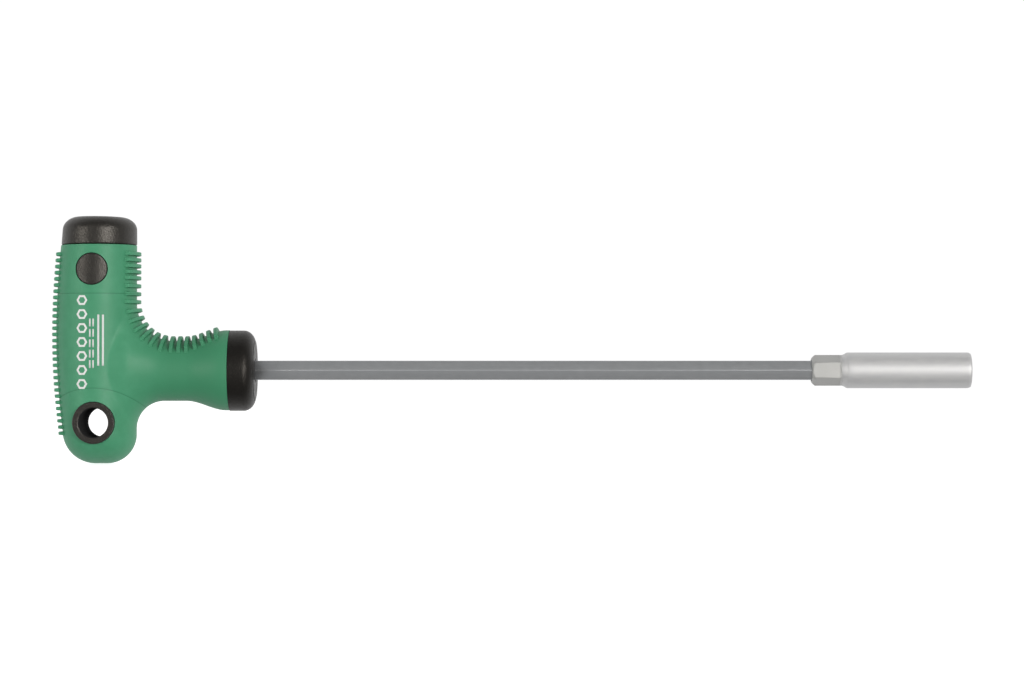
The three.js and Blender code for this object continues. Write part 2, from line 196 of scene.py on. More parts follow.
def grip_field(x, y, z):
    """The soft grip's body with the grooves of its two mould seams, closed just beyond its two cut ends."""
    from_arc = np.hypot(x - SEAM["arc_x"], z - SEAM["arc_z"]) - SEAM["arc_radius"]
    in_arm = 1 - smoothstep(x, -38, -34)
    seams = np.exp(-((z - SEAM["height"]) / SEAM["width"]) ** 2) + np.exp(-((from_arc / SEAM["width"]) ** 2))
    body = smooth_body(x, y, z) + SEAM["depth"] * seams * in_arm
    return np.maximum(body, np.maximum(z - ARM_TOP, x - NECK_END) - 1)


def surface_net(field, low, step):
    """Vertices and four-cornered faces of the surface where the sampled field is zero."""
    shape = np.array(field.shape) - 1
    corners = [(i, j, k) for i in (0, 1) for j in (0, 1) for k in (0, 1)]
    inside = field < 0
    part = [inside[i:i + shape[0], j:j + shape[1], k:k + shape[2]] for i, j, k in corners]
    active = np.logical_or.reduce(part) & ~np.logical_and.reduce(part)
    cells = np.argwhere(active)
    value = {c: field[tuple((cells + c).T)] for c in corners}
    total = np.zeros((len(cells), 3))
    count = np.zeros(len(cells))
    for a in corners:
        for axis in range(3):
            if a[axis]:
                continue
            b = tuple(c + (k == axis) for k, c in enumerate(a))
            crosses = (value[a] < 0) != (value[b] < 0)
            share = value[a][crosses] / (value[a][crosses] - value[b][crosses])
            point = np.tile(np.array(a, float), (len(share), 1))
            point[:, axis] += share
            total[crosses] += point
            count[crosses] += 1
    vertices = low + (cells + total / count[:, None]) * step
    index = np.full(shape, -1)
    index[tuple(cells.T)] = np.arange(len(cells))
    faces = []
    for axis in range(3):
        u, v = (axis + 1) % 3, (axis + 2) % 3
        before = np.take(inside, range(shape[axis]), axis)
        after = np.take(inside, range(1, shape[axis] + 1), axis)
        edges = np.argwhere(before != after)
        edges = edges[(edges[:, u] > 0) & (edges[:, v] > 0)]
        edges = edges[(edges[:, u] < shape[u]) & (edges[:, v] < shape[v])]
        outwards = before[tuple(edges.T)]
        ring = []
        for du, dv in ((0, 0), (1, 0), (1, 1), (0, 1)):
            cell = edges.copy()
            cell[:, u] -= du
            cell[:, v] -= dv
            ring.append(index[tuple(cell.T)])
        quads = np.stack(ring, 1)
        quads[~outwards] = quads[~outwards][:, ::-1]
        faces.append(quads)
    return vertices, np.concatenate(faces)


def settle(vertices, field, most, rounds=4, reach=0.01):
    """Moves the vertices onto the field's zero surface, by at most a little each round."""
    for _ in range(rounds):
        value = field(*vertices.T)
        slope = np.empty_like(vertices)
        for axis in range(3):
            ahead = vertices.copy()
            ahead[:, axis] += reach
            slope[:, axis] = (field(*ahead.T) - value) / reach
        move = slope * (value / np.maximum((slope**2).sum(1), 0.2))[:, None]
        length = np.linalg.norm(move, axis=1)
        move *= np.minimum(1, most / np.maximum(length, 1e-9))[:, None]
        vertices = vertices - move
    return vertices


# ---- Meshes ----
def add_mesh(name, vertices, faces, smooth=True):
    """A mesh object from design millimetres."""
    mesh = bpy.data.meshes.new(name)
    mesh.from_pydata(to_row(vertices).tolist(), [], [list(map(int, f)) for f in faces])
    mesh.validate()
    mesh.update()
    for polygon in mesh.polygons:
        polygon.use_smooth = smooth
    piece = bpy.data.objects.new(name, mesh)
    bpy.context.scene.collection.objects.link(piece)
    return piece


def rounded_corners(corners, steps=6):
    """A closed profile from (a, b, rounding) corners, each rounded by a curve that starts that far off."""
    profile = []
    count = len(corners)
    for i, (a, b, rounding) in enumerate(corners):
        here = np.array([a, b])
        if rounding == 0:
            profile.append(here)
            continue
        before = np.array(corners[i - 1][:2]) - here
        after = np.array(corners[(i + 1) % count][:2]) - here
        start = here + before / np.linalg.norm(before) * rounding
        end = here + after / np.linalg.norm(after) * rounding
        for k in range(steps + 1):
            t = k / steps
            profile.append((1 - t) ** 2 * start + 2 * t * (1 - t) * here + t * t * end)
    return profile


def lathe(name, profile, centre, axis, segments=128):
    """A closed (along, radius) profile turned about a line through centre along X or Y."""
    along = np.array([p[0] for p in profile])
    radius = np.array([p[1] for p in profile])
    turn = np.arange(segments) / segments * 2 * math.pi
    ring_a = radius[:, None] * np.cos(turn)
    ring_b = radius[:, None] * np.sin(turn)
    level = np.repeat(along[:, None], segments, 1)
    order = {"X": (level, ring_a, ring_b), "Y": (ring_b, level, ring_a)}
    vertices = np.stack(order[axis], -1).reshape(-1, 3) + np.array(centre)
    return add_mesh(name, vertices, ring_faces(len(profile), segments, closed=True))


def ring_faces(rings, segments, closed=False):
    """Four-cornered faces between neighbouring rings of vertices."""
    faces = []
    for r in range(rings if closed else rings - 1):
        here = r * segments
        there = ((r + 1) % rings) * segments
        for s in range(segments):
            t = (s + 1) % segments
            faces.append((here + s, here + t, there + t, there + s))
    return faces


def face_out(piece):
    """Turns the faces of a closed mesh outwards."""
    mesh = piece.data
    volume = 0.0
    for polygon in mesh.polygons:
        corners = [mesh.vertices[i].co for i in polygon.vertices]
        for b, c in zip(corners[1:], corners[2:]):
            volume += corners[0].dot(b.cross(c))
    if volume < 0:
        mesh.flip_normals()
    return piece


def loft(name, sections):
    """A closed body from rings of points, each the same count, its two ends closed by a fan."""
    segments = len(sections[0])
    vertices = np.concatenate([*sections, [sections[0].mean(0)], [sections[-1].mean(0)]])
    faces = ring_faces(len(sections), segments)
    first, last = len(vertices) - 2, len(vertices) - 1
    top = (len(sections) - 1) * segments
    for s in range(segments):
        t = (s + 1) % segments
        faces.append((first, t, s))
        faces.append((last, top + s, top + t))
    return face_out(add_mesh(name, vertices, faces))


def combine(piece, other, operation):
    """Joins one closed mesh to another, or cuts it away, and removes it."""
    before = len(piece.data.vertices)
    modifier = piece.modifiers.new("combine", "BOOLEAN")
    modifier.operation = operation
    modifier.solver = "MANIFOLD"
    modifier.object = other
    apply_modifiers(piece)
    assert len(piece.data.vertices) != before, f"{other.name} left {piece.name} unchanged"
    bpy.data.objects.remove(other)


def merge(pieces):
    """Puts separate meshes into the first one's mesh."""
    first = pieces[0]
    with bpy.context.temp_override(active_object=first, selected_editable_objects=pieces):
        bpy.ops.object.join()
    return first


def apply_modifiers(piece):
    graph = bpy.context.evaluated_depsgraph_get()
    made = bpy.data.meshes.new_from_object(piece.evaluated_get(graph))
    piece.modifiers.clear()
    piece.data = made


# ---- Materials ----
class Nodes:
    """Short words for building a node material."""

    def __init__(self, name):
        self.material = bpy.data.materials.new(name)
        self.material.use_nodes = True
        self.tree = self.material.node_tree
        self.shader = self.tree.nodes["Principled BSDF"]
        self.place = self.tree.nodes.new("ShaderNodeTexCoord").outputs["Object"]

    def link(self, output, socket):
        self.tree.links.new(output, socket)

    def scaled_place(self, scale):
        node = self.tree.nodes.new("ShaderNodeVectorMath")
        node.operation = "MULTIPLY"
        self.link(self.place, node.inputs[0])
        node.inputs[1].default_value = scale
        return node.outputs[0]

    def noise(self, per_mm, detail=2.0, roughness=0.5, stretch=(1, 1, 1)):
        node = self.tree.nodes.new("ShaderNodeTexNoise")
        self.link(self.scaled_place([s * per_mm / MM for s in stretch]), node.inputs["Vector"])
        node.inputs["Scale"].default_value = 1.0
        node.inputs["Detail"].default_value = detail
        node.inputs["Roughness"].default_value = roughness
        return node.outputs["Fac"]

    def cells(self, per_mm):
        node = self.tree.nodes.new("ShaderNodeTexVoronoi")
        self.link(self.scaled_place([per_mm / MM] * 3), node.inputs["Vector"])
        node.inputs["Scale"].default_value = 1.0
        return node.outputs["Distance"]

    def spread(self, value, low, high, to_low, to_high):
        node = self.tree.nodes.new("ShaderNodeMapRange")
        self.link(value, node.inputs["Value"])
        for name, number in (("From Min", low), ("From Max", high), ("To Min", to_low), ("To Max", to_high)):
            node.inputs[name].default_value = number
        return node.outputs["Result"]

    def maths(self, operation, a, b=0.0):
        node = self.tree.nodes.new("ShaderNodeMath")
        node.operation = operation
        for value, socket in zip((a, b), node.inputs):
            if isinstance(value, (int, float)):
                socket.default_value = value
            else:
                self.link(value, socket)
        return node.outputs[0]

    def blend(self, share, a, b):
        """Colour a, and colour b where share is 1."""
        node = self.tree.nodes.new("ShaderNodeMix")
        node.data_type = "RGBA"
        self.link(share, node.inputs["Factor"])
        self.link(a, node.inputs["A"])
        node.inputs["B"].default_value = (*b, 1)
        return node.outputs["Result"]

    def along(self, start, end):
        """0 before one place along the rod and 1 after another, in the design's own millimetres."""
        axes = self.tree.nodes.new("ShaderNodeSeparateXYZ")
        self.link(self.place, axes.inputs[0])
        places = [float(to_row((x, 0, 0))[0]) for x in (start, end)]
        return self.spread(axes.outputs["X"], *places, 0.0, 1.0)

    def colours(self, value, *stops):
        node = self.tree.nodes.new("ShaderNodeValToRGB")
        self.link(value, node.inputs["Fac"])
        ramp = node.color_ramp
        while len(ramp.elements) < len(stops):
            ramp.elements.new(0.5)
        for element, (position, colour) in zip(ramp.elements, stops):
            element.position = position
            element.color = (*colour, 1)
        return node.outputs["Color"]

    def bump(self, height, distance_mm, strength=1.0, after=None):
        node = self.tree.nodes.new("ShaderNodeBump")
        self.link(height, node.inputs["Height"])
        node.inputs["Distance"].default_value = distance_mm * MM
        node.inputs["Strength"].default_value = strength
        if after is not None:
            self.link(after, node.inputs["Normal"])
        self.link(node.outputs["Normal"], self.shader.inputs["Normal"])
        return node.outputs["Normal"]

    def set(self, **values):
        for name, value in values.items():
            self.shader.inputs[name.replace("_", " ")].default_value = value


def green_rubber():
    """Soft-touch grip: matt, finely grained, a little mottled, with two seams, and with painted shade that
    darkens it towards the neck.
    """
    n = Nodes("soft_green")
    mottle = n.noise(0.35, detail=3)
    colour = n.colours(mottle, (0.3, (0.066, 0.330, 0.171)), (0.7, (0.076, 0.356, 0.190)))
    # painted shade: the green is blended darker from x = -40 mm onwards, so the neck reads shaded
    colour = n.blend(n.along(-40.0, -26.0), colour, (0.054, 0.283, 0.143))
    n.link(n.blend(seam_mask(n), colour, (0.042, 0.235, 0.120)), n.shader.inputs["Base Color"])
    n.link(n.spread(n.noise(1.2), 0.3, 0.7, 0.46, 0.54), n.shader.inputs["Roughness"])
    fine = n.bump(n.noise(4.5, detail=1), 0.02, 0.5)
    n.bump(n.noise(0.9, detail=2), 0.03, 0.3, after=fine)
    n.set(Specular_IOR_Level=0.42)
    return n.material


def seam_mask(n):
    """1 on the grip's two seams, a level line and an arc about the hanging hole, and 0 beside them."""
    axes = n.tree.nodes.new("ShaderNodeSeparateXYZ")
    n.link(n.place, axes.inputs[0])
    centre = to_row((SEAM["arc_x"], 0, SEAM["arc_z"]))
    level = to_row((0, 0, SEAM["height"]))[2]
    across = n.maths("SUBTRACT", axes.outputs["X"], float(centre[0]))
    up = n.maths("SUBTRACT", axes.outputs["Z"], float(centre[2]))
    squares = n.maths("ADD", n.maths("MULTIPLY", across, across), n.maths("MULTIPLY", up, up))
    from_arc = n.maths("ABSOLUTE", n.maths("SUBTRACT", n.maths("SQRT", squares), SEAM["arc_radius"] * MM))
    from_line = n.maths("ABSOLUTE", n.maths("SUBTRACT", axes.outputs["Z"], float(level)))
    nearest = n.maths("MINIMUM", from_arc, from_line)
    return n.spread(nearest, SEAM["dark"] * MM, SEAM["plain"] * MM, 1.0, 0.0)


def black_plastic(name, shade, gloss):
    """Hard plastic with a fine spark-eroded grain; shade scales its colour, gloss is its specular level."""
    n = Nodes(name)
    dark = [shade * c for c in (0.0085, 0.0078, 0.0068)]
    light = [shade * c for c in (0.0115, 0.0108, 0.0095)]
    n.link(n.colours(n.noise(0.8, detail=3), (0.3, dark), (0.7, light)), n.shader.inputs["Base Color"])
    n.link(n.spread(n.noise(2.5), 0.3, 0.7, 0.32, 0.42), n.shader.inputs["Roughness"])
    coarse = n.bump(n.noise(2.2, detail=2, roughness=0.6), 0.13, 0.9)
    n.bump(n.cells(4.0), 0.03, 0.6, after=coarse)
    n.set(Specular_IOR_Level=gloss, Specular_Tint=(1.0, 0.94, 0.87, 1.0))
    return n.material


def bore_painted_shade():
    """Painted shade inside the hanging hole: no specular, so it takes no reflection of the bright
    surroundings, and a flat grey-black colour for the dim light left in it.
    """
    n = Nodes("bore_painted_shade")
    n.link(n.colours(n.noise(0.8, detail=3), (0.3, (0.040, 0.040, 0.041)), (0.7, (0.052, 0.052, 0.053))),
           n.shader.inputs["Base Color"])
    n.bump(n.noise(1.6, detail=2), 0.05, 0.5)
    n.set(Specular_IOR_Level=0.0, Roughness=0.8)
    return n.material


def rod_steel():
    """Nickel-plated drawn bar: satin, with faint lines along it."""
    n = Nodes("rod_steel")
    drawn = n.noise(1.0, detail=3, stretch=(0.03, 2.2, 2.2))
    colour = n.colours(drawn, (0.3, (0.60, 0.62, 0.64)), (0.7, (0.64, 0.655, 0.67)))
    n.link(colour, n.shader.inputs["Base Color"])
    n.link(n.spread(n.noise(0.5, detail=3), 0.3, 0.7, 0.30, 0.38), n.shader.inputs["Roughness"])
    n.bump(drawn, 0.01, 0.4)
    n.set(Metallic=0.85)
    return n.material


def satin_chrome():
    """Satin chrome over turned steel, with painted shade on the flats, whose colour is darker."""
    n = Nodes("satin_chrome")
    cloud = n.noise(0.6, detail=4, stretch=(0.4, 1, 1))
    turned = n.colours(cloud, (0.3, (0.69, 0.69, 0.70)), (0.7, (0.74, 0.74, 0.74)))
    # painted shade: the hexagonal flats get a darker colour than the turned parts
    flats = n.spread(n.along(SOCKET["flats_end"] - 0.6, SOCKET["flats_end"] + 0.4), 0.0, 1.0, 1.0, 0.0)
    n.link(n.blend(flats, turned, (0.53, 0.53, 0.52)), n.shader.inputs["Base Color"])
    n.link(n.spread(cloud, 0.3, 0.7, 0.52, 0.60), n.shader.inputs["Roughness"])
    grain = n.bump(n.noise(3.5, detail=2), 0.01, 0.35)
    n.bump(n.noise(1.0, detail=2, stretch=(2.5, 0.25, 0.25)), 0.006, 0.3, after=grain)
    n.set(Metallic=0.66)
    return n.material


def white_ink():
    """Pad-printed white ink."""
    n = Nodes("white_ink")
    colour = n.colours(n.noise(3.0), (0.3, (0.88, 0.89, 0.88)), (0.7, (0.94, 0.95, 0.94)))
    n.link(colour, n.shader.inputs["Base Color"])
    n.link(n.spread(n.noise(2.0), 0.3, 0.7, 0.45, 0.6), n.shader.inputs["Roughness"])
    return n.material


def dress(piece, material, slot, *nodes):
    """Gives a piece its material, attaches it to the root body and hides the CAD nodes it stands for; the
    slot argument is not used.
    """
    piece.data.materials.clear()
    piece.data.materials.append(material)
    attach(piece, "root")
    if nodes:
        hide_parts(*nodes)
    return piece


# ---- Pieces ----
def soft_grip():
    """The green grip: its body as a surface net, with the ribs joined on and the others' rooms cut out."""
    low = np.array([-65.0, -13.5, -30.6])
    high = np.array([-6.0, 13.5, 42.0])
    axes = [np.arange(low[i], high[i], GRID[i]) for i in range(3)]
    x, y, z = np.meshgrid(*axes, indexing="ij")
    vertices, faces = surface_net(grip_field(x, y, z), low, GRID)
    vertices = settle(vertices, grip_field, most=0.12)
    grip = face_out(add_mesh("soft_grip_fine", vertices, faces))
    combine(grip, merge([rib(*place) for place in rib_places()]), "UNION")
    cutters = [
        brick("above_cap_line", (-FAR * 2, -FAR, ARM_TOP), (FAR, FAR, FAR)),
        bar("eye_room", EYE["x"], EYE["z"], EYE["outer"] + GAP, -FAR, FAR),
        bar("disc_room_front", DISC["x"], DISC["z"], DISC["radius"] + GAP,
            -FAR, DISC["depth"] - HALF_THICKNESS - GAP),
        bar("disc_room_back", DISC["x"], DISC["z"], DISC["radius"] + GAP,
            HALF_THICKNESS + GAP - DISC["depth"], FAR),
    ]
    combine(grip, merge(cutters), "DIFFERENCE")
    combine(grip, brick("past_collar_line", (NECK_END, -FAR, -FAR), (FAR, FAR, ARM_TOP - 1)), "DIFFERENCE")
    for room in core_rooms():
        combine(grip, room, "DIFFERENCE")
    for polygon in grip.data.polygons:
        polygon.use_smooth = True
    sharp_by_angle(grip, 32)
    return grip


def rib(x, z, angle, kind):
    """One rib at a place on the side outline: a bar, slimmer at its crest, that follows the body across.

    Its sections lean so that its two ends stand square to the body.
    """
    span = kind["span"]
    inner = np.linspace(-span + 0.3, span - 0.3, 25)
    stations = [(-span, 0.13), (-span + 0.08, 0.03)]  # place across, and how much slimmer
    stations += [(y, 0.0) for y in inner]
    stations += [(span - 0.08, 0.03), (span, 0.13)]
    crest_y = np.array([station[0] for station in stations])
    root_y = crest_y * RIB_LEAN
    crest = outward_distance(x, z, angle, crest_y, kind["height"])
    root = outward_distance(x, z, angle, root_y, RIB_ROOT)
    total = kind["height"] - RIB_ROOT
    sections = []
    for i, (_, inset) in enumerate(stations):
        foot = kind["foot"] - inset
        top = kind["crest"] - inset
        corners = [(-foot, 0, 0), (foot, 0, 0), (top, total - inset, kind["rounding"]),
                   (-top, total - inset, kind["rounding"])]
        side, height = np.array(rounded_corners(corners, steps=4)).T
        share = height / total
        out = root[i] + share * (crest[i] - root[i])
        sections.append(np.stack([
            x + out * math.cos(angle) - side * math.sin(angle),
            root_y[i] + share * (crest_y[i] - root_y[i]),
            z + out * math.sin(angle) + side * math.cos(angle),
        ], -1))
    return loft("rib", sections)


def outward_distance(x, z, angle, y, level):
    """How far outwards from (x, z) the body's field reaches a level, at each y."""
    low = np.full(len(y), -8.0)
    high = np.full(len(y), 4.0)
    for _ in range(24):
        middle = (low + high) / 2
        beyond = smooth_body(x + middle * math.cos(angle), y, z + middle * math.sin(angle)) > level
        high = np.where(beyond, middle, high)
        low = np.where(beyond, low, middle)
    return (low + high) / 2


def bar(name, x, z, radius, start, end):
    """A round bar along Y, used as a cutter."""
    turn = np.arange(128) / 128 * 2 * math.pi
    ring = [x + radius * np.cos(turn), z + radius * np.sin(turn)]
    return loft(name, [np.stack([ring[0], np.full(128, y), ring[1]], -1) for y in (start, end)])


def brick(name, near, far):
    """A block between two corners, used as a cutter."""
    square = [(near[0], near[2]), (far[0], near[2]), (far[0], far[2]), (near[0], far[2])]
    return loft(name, [np.array([(x, y, z) for x, z in square]) for y in (near[1], far[1])])


def core_rooms():
    """The hard core's room in the grip."""
    skin = 2.7
    radius = HALF_THICKNESS - skin
    yield spindle("room_arm", [
        (ARM_TOP - 0.2, radius - 0.6), (20, radius), (-20, radius), (-24, radius - 2.6),
        (ARM_BOTTOM + skin, radius - 6.5),
    ], ARM_MIDDLE, "Z")
    yield spindle("room_spigot", [(45, SPIGOT_RADIUS), (30, SPIGOT_RADIUS)], ARM_MIDDLE, "Z")
    yield spindle("room_neck", [
        (-5, 9.9), (-12, 9.5), (-19, 7.2), (-38, 7.2), (-42, 8.3), (-46, 8.3),
    ], 0, "X")


def spindle(name, profile, middle, axis, segments=64):
    """A solid turned about the X axis, or about an upright line at x = middle, from (along, radius) pairs."""
    turn = np.arange(segments) / segments * 2 * math.pi
    sections = []
    for along, radius in profile:
        a, b = radius * np.cos(turn), radius * np.sin(turn)
        level = np.full(segments, float(along))
        sections.append(np.stack((level, a, b) if axis == "X" else (middle + a, b, level), -1))
    return loft(name, sections)


def end_cap():
    """The cap leans a little: its back falls in and its top slopes to the front."""
    foot, top = CAP["foot"], CAP["top"]
    levels = [(foot, 0.5), (foot + 0.07, 0.22), (foot + 0.22, 0.05), (foot + 0.45, 0.0)]
    corner_start = top - CAP["corner_down"]
    levels += [(z, 0.0) for z in np.linspace(foot + 1.2, corner_start, 6)]
    for t in np.linspace(0, math.pi / 2, 18)[1:]:
        across = CAP["corner_across"] * (1 - math.cos(t))
        levels.append((corner_start + CAP["corner_down"] * math.sin(t), across))
    levels += [(top, inset) for inset in (6.5, 9.0, 11.0)]
    sections = []
    turn = np.arange(160) / 160 * 2 * math.pi
    for z, inset in levels:
        rise = (z - foot) / (top - foot)
        left = CAP_LEFT["foot"] + (CAP_LEFT["top"] - CAP_LEFT["foot"]) * rise
        right = CAP_RIGHT["foot"] + (CAP_RIGHT["top"] - CAP_RIGHT["foot"]) * rise
        half = (right - left) / 2 - inset
        deep = CAP["depth"] - 0.25 * rise - inset
        slope = CAP["top_drop"] * rise * (1 + np.cos(turn) * half / 12) / 2
        crown = 0.12 * (1 - ((half / 12) ** 2)) * rise - 0.12 * rise
        sections.append(np.stack([
            (left + right) / 2 + half * np.cos(turn),
            deep * np.sin(turn),
            z - slope + crown,
        ], -1))
    cap = loft("end_cap_fine", sections)
    room = spindle("cap_room", [(45.3, SPIGOT_RADIUS), (30, SPIGOT_RADIUS)], ARM_MIDDLE, "Z")
    combine(cap, room, "DIFFERENCE")
    return cap


def front_collar():
    nose = []
    for t in np.linspace(0, math.pi / 2, 20):
        radius = COLLAR_RADIUS - 4.4 * (1 - math.cos(t))
        if radius > PLUG_RADIUS + SEAT_GAP + 0.2:
            nose.append((-3.75 + 3.75 * math.sin(t), radius, 0))
    lip_x = nose[-1][0] + 0.02
    back = NECK_END + GAP
    corners = [(back, COLLAR_RADIUS, 0.18), *nose, (lip_x, PLUG_RADIUS + SEAT_GAP, 0.1),
               (-3.2, PLUG_RADIUS + SEAT_GAP, 0), (-3.2, 8.3, 0), (back, 8.3, 0)]
    return face_out(lathe("front_collar_fine", rounded_corners(corners), (0, 0, COLLAR_DROP), "X"))


def front_plug():
    corners = [(-3.0, 3.7, 0), (-0.35, 3.7, 0.2), (-0.02, 4.1, 0.15), (-0.02, 6.7, 0.1), (-0.14, 6.85, 0.05),
               (-0.14, 7.15, 0.05), (-0.02, 7.3, 0.1), (-0.02, PLUG_RADIUS, 0.16), (-3.0, PLUG_RADIUS, 0)]
    return face_out(lathe("front_plug_fine", rounded_corners(corners), (0, 0, COLLAR_DROP / 2), "X"))


def side_disc(side, name):
    """A disc whose face follows the arm; side is -1 for the front and 1 for the back."""
    rings = [(0.03, 0.0), (1.2, 0.0), (2.4, 0.0), (3.6, 0.0), (4.4, 0.0), (4.72, 0.01), (4.9, 0.05),
             (5.02, 0.13), (DISC["radius"], 0.28)]  # radius, and how far below the face
    turn = np.arange(96) / 96 * 2 * math.pi
    sections = []
    for radius, drop in rings:
        x = DISC["x"] + radius * np.cos(turn)
        z = DISC["z"] + radius * np.sin(turn)
        half = (ARM_RIGHT - back_line(z)) / 2
        from_middle = half - arm_inset(x, z)
        surface = HALF_THICKNESS * np.sqrt(1 - (from_middle / half) ** 2) - 0.04 - drop
        sections.append(np.stack([x, side * surface, z], -1))
    floor = HALF_THICKNESS - DISC["depth"]
    x = DISC["x"] + DISC["radius"] * np.cos(turn)
    z = DISC["z"] + DISC["radius"] * np.sin(turn)
    sections.append(np.stack([x, np.full_like(x, side * floor), z], -1))
    return loft(name, sections)


def hanging_eye():
    half = HALF_THICKNESS - 0.25
    corners = [
        (-half, EYE["outer"], 0.25), (half, EYE["outer"], 0.25),
        (half, EYE["inner"], 0.5), (-half, EYE["inner"], 0.5),
    ]
    profile = rounded_corners(corners)
    return face_out(lathe("hanging_eye_fine", profile, (EYE["x"], 0, EYE["z"]), "Y"))


def paint_bore_shade(eye, material):
    """Gives the faces inside the hanging hole the painted-shade material."""
    eye.data.materials.append(material)
    middle = to_row((EYE["x"], 0, EYE["z"]))
    reach = (EYE["inner"] + 0.12) * MM
    for polygon in eye.data.polygons:
        x, _, z = polygon.center
        if math.hypot(x - middle[0], z - middle[2]) < reach:
            polygon.material_index = 1


# Printed marks: a column of small hexagon outlines, two dashed lines and two plain lines.
NUT_MARKS = {"x": -54.3, "first": 22.3, "pitch": 4.45, "count": 7, "across": 3.1, "line": 0.62}
DASHES = {"x": (-51.72, -50.68), "first": 16.4, "pitch": 3.3, "count": 5, "length": 2.5, "line": 0.5}
LINES = {"x": (-49.05, -47.6), "top": 17.7, "bottom": 1.4, "line": 0.62}
INK = {"above": 0.018, "below": 0.12}


def grip_side(x, z):
    """Depth of the grip's near side at a point of its side view."""
    near = np.full(np.shape(x), -HALF_THICKNESS - 1)
    deep = np.full(np.shape(x), -6.0)
    for _ in range(26):
        y = (near + deep) / 2
        outside = smooth_body(x, y, z) > 0
        near = np.where(outside, y, near)
        deep = np.where(outside, deep, y)
    return (near + deep) / 2


def ink_band(name, outer, inner, closed):
    """A thin layer on the grip between two lines of (x, z) points."""
    corners = [(outer, -INK["above"]), (inner, -INK["above"]), (inner, INK["below"]), (outer, INK["below"])]
    rings = [np.stack([line[:, 0], grip_side(*line.T) + lift, line[:, 1]], -1) for line, lift in corners]
    sections = np.stack(rings, 1)
    if closed:
        faces = ring_faces(len(sections), 4, closed=True)
        return face_out(add_mesh(name, sections.reshape(-1, 3), faces, smooth=False))
    return loft(name, list(sections))


def ink_stroke(x, top, bottom, width):
    z = np.linspace(top, bottom, max(3, int((top - bottom) / 0.8)))
    left = np.stack([np.full(len(z), x - width / 2), z], -1)
    right = np.stack([np.full(len(z), x + width / 2), z], -1)
    return ink_band("stroke", left, right, closed=False)


def printed_marks():
    marks = []
    per_side = 4
    for i in range(NUT_MARKS["count"]):
        centre = np.array([NUT_MARKS["x"], NUT_MARKS["first"] - i * NUT_MARKS["pitch"]])
        lines = []
        for across in (NUT_MARKS["across"], NUT_MARKS["across"] - 2 * NUT_MARKS["line"]):
            turn = np.arange(7) * math.pi / 3
            corners = across / math.sqrt(3) * np.stack([np.cos(turn), np.sin(turn)], -1)
            share = (np.arange(per_side) / per_side)[:, None]
            sides = [corners[k] + share * (corners[k + 1] - corners[k]) for k in range(6)]
            lines.append(centre + np.concatenate(sides))
        marks.append(ink_band("nut_mark", *lines, closed=True))
    for i in range(DASHES["count"]):
        top = DASHES["first"] - i * DASHES["pitch"]
        marks += [ink_stroke(x, top, top - DASHES["length"], DASHES["line"]) for x in DASHES["x"]]
    for x in LINES["x"]:
        marks.append(ink_stroke(x, LINES["top"], LINES["bottom"], LINES["line"]))
    printed = merge(marks)
    printed.name = "printed_marks_fine"
    return printed


def hexagon(across_flats, rounding, steps, start):
    """Points of a hexagon with rounded corners in a plane; start is the first corner's angle."""
    radius = across_flats / math.sqrt(3)
    turns = [start + k * math.pi / 3 for k in range(6)]
    corners = [(radius * math.cos(turn), radius * math.sin(turn), rounding) for turn in turns]
    return np.array(rounded_corners(corners, steps=steps))


def hex_rod():
    """Drawn hexagon bar, its edges to the front and back, pressed flat at the end inside the handle."""
    section = hexagon(ROD_FLATS, 0.22, 5, 0.0)  # first coordinate across the handle, second up
    sections = []
    start, end = ROD_ENDS
    chamfer = 0.4
    stations = [
        (start, 0.9), (start + chamfer, 1.0), (start + EARS["start"], 1.0), (start + 5.2, 1.0),
        (start + 6, 1.0), (start + EARS["end"], 1.0), (end - chamfer, 1.0), (end, 0.88),
    ]
    for x, size in stations:
        flat = 1 - smoothstep(x, start + EARS["start"], start + EARS["end"])
        across = section[:, 0] * size * (1 - EARS["thinner"] * flat)
        up = section[:, 1] * size * (1 + EARS["wider"] * flat)
        sections.append(np.stack([np.full(len(section), x), across, up], -1))
    return loft("hex_rod_fine", sections)


SOCKET = {"start": 178.8, "flats_end": 188.3, "barrel_start": 190.4, "end": 230.0, "flats": 8.58,
          "nose_radius": 3.8, "nose_length": 1.15, "neck_radius": 4.95, "runout": 0.75, "radius": 5.75,
          "edge_length": 1.3, "edge_drop": 0.55, "mouth_chamfer": 0.75, "nut_flats": 8.1, "nut_depth": 12.0,
          "stud_radius": 4.0, "stud_depth": 30.0}


def hex_radius(turn, across_flats):
    """Distance from the axis to a hexagon's side at an angle from a corner."""
    within = np.mod(turn, math.pi / 3) - math.pi / 6
    return across_flats / 2 / np.cos(within)


